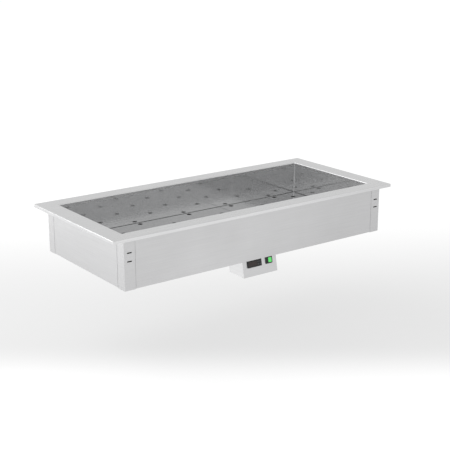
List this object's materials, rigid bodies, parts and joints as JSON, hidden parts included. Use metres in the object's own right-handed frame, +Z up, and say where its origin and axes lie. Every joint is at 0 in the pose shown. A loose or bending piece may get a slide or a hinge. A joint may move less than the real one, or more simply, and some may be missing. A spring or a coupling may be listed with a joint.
{
  "type": "drop-in food well",
  "caption": "Heated stainless drop-in food well for gastronorm pans, with a flanged tub, lift-out perforated false bottom, insulated casing, drain valve and a slung control box.",
  "frame": {"origin": "centre of the worktop cut-out, level with the worktop's upper surface, on which the flange's lip and gasket seat", "axes": "+X along the well to the right, -Y to the front with the controls, +Z up"},
  "size_m": [1.47, 0.66, 0.2947],
  "materials": {
    "polished_flange": "satin brushed stainless steel",
    "tank_steel": "fine brushed stainless steel, half gloss",
    "plate_steel": "fine brushed stainless steel",
    "casing_steel": "satin stainless steel",
    "foam": "closed-cell foam",
    "mineral_wool": "matt fibrous",
    "element_sheath": "heat-darkened steel tube",
    "zinc_steel": "bright zinc plated",
    "screw_steel": "bright stainless",
    "sensor_steel": "bright stainless",
    "lead_silicone": "silicone insulation",
    "grommet_rubber": "matt black",
    "drain_brass": "nickel-plated brass",
    "strainer_steel": "bright stainless",
    "gasket_rubber": "matt black",
    "seat_ptfe": "white PTFE",
    "lever_steel": "bright zinc plated",
    "lever_vinyl": "red vinyl",
    "controller_black": "fine textured black",
    "display_red": "dark red transparent filter",
    "key_grey": "soft-touch dark grey",
    "switch_black": "very dark green, near black",
    "lens_green": "translucent lit green",
    "terminal_grey": "moulded grey",
    "relay_black": "moulded black",
    "limiter_phenolic": "moulded brown",
    "gland_plastic": "moulded grey"
  },
  "bodies": {
    "well": {"top_flange": "polished_flange", "flange_gasket": "foam", "well_tank": "tank_steel", "front_casing_panel": "casing_steel", "rear_casing_panel": "casing_steel", "left_casing_panel": "casing_steel", "right_casing_panel": "casing_steel", "corner_post_front_left": "casing_steel", "corner_post_front_right": "casing_steel", "corner_post_rear_left": "casing_steel", "corner_post_rear_right": "casing_steel", "bottom_panel": "casing_steel", "front_insulation": "mineral_wool", "rear_insulation": "mineral_wool", "left_insulation": "mineral_wool", "right_insulation": "mineral_wool", "base_insulation": "mineral_wool", "heating_element_left": "element_sheath", "heating_element_right": "element_sheath", "element_clamps": "zinc_steel", "clamp_fasteners": "zinc_steel", "tank_sensors": "sensor_steel", "sensor_clips": "zinc_steel", "element_leads": "lead_silicone", "wire_grommet": "grommet_rubber", "drain_fitting": "drain_brass", "drain_gasket": "gasket_rubber", "drain_lock_nut": "drain_brass", "drain_strainer": "strainer_steel", "valve_body": "drain_brass", "valve_seats": "seat_ptfe", "valve_packing_nut": "drain_brass", "control_box": "casing_steel", "control_panel": "casing_steel", "controller_housing": "controller_black", "controller_bezel": "controller_black", "controller_clips": "controller_black", "display_window": "display_red", "switch_frame": "switch_black", "mounting_rail": "zinc_steel", "terminal_block": "terminal_grey", "power_relay": "relay_black", "limiter_thermostat": "limiter_phenolic", "cable_gland": "gland_plastic", "gland_nuts": "gland_plastic", "bonding_stud": "zinc_steel", "screws": "screw_steel"},
    "left_false_bottom": {"false_bottom_left": "plate_steel"},
    "right_false_bottom": {"false_bottom_right": "plate_steel"},
    "rocker": {"power_rocker": "switch_black", "rocker_lens": "lens_green"},
    "set_key": {"key_set": "key_grey"},
    "up_key": {"key_up": "key_grey"},
    "light_key": {"key_light": "key_grey"},
    "down_key": {"key_down": "key_grey"},
    "drain_handle": {"valve_ball": "drain_brass", "valve_stem": "drain_brass", "valve_lever": "lever_steel", "lever_grip": "lever_vinyl", "lever_nut": "lever_steel"}
  },
  "joints": [
    {"name": "left_false_bottom_lift", "type": "slide", "parent": "well", "child": "left_false_bottom", "axis": [0, 0, 1], "range_m": [0, 0.25]},
    {"name": "right_false_bottom_lift", "type": "slide", "parent": "well", "child": "right_false_bottom", "axis": [0, 0, 1], "range_m": [0, 0.25]},
    {"name": "rocker_tilt", "type": "hinge", "parent": "well", "child": "rocker", "pos_m": [0.0485, -0.29202, -0.22518], "axis": [0, 0.1908, 0.9816], "range_deg": [0, 20]},
    {"name": "drain_valve_turn", "type": "hinge", "parent": "well", "child": "drain_handle", "pos_m": [0.591, 0.19, -0.235], "axis": [1, 0, 0], "range_deg": [0, 90]},
    {"name": "set_key_press", "type": "slide", "parent": "well", "child": "set_key", "axis": [0, 0.9816, -0.1908], "range_m": [0, 0.0005], "stiffness_N_per_m": 400},
    {"name": "up_key_press", "type": "slide", "parent": "well", "child": "up_key", "axis": [0, 0.9816, -0.1908], "range_m": [0, 0.0005], "stiffness_N_per_m": 400},
    {"name": "light_key_press", "type": "slide", "parent": "well", "child": "light_key", "axis": [0, 0.9816, -0.1908], "range_m": [0, 0.0005], "stiffness_N_per_m": 400},
    {"name": "down_key_press", "type": "slide", "parent": "well", "child": "down_key", "axis": [0, 0.9816, -0.1908], "range_m": [0, 0.0005], "stiffness_N_per_m": 400}
  ]
}
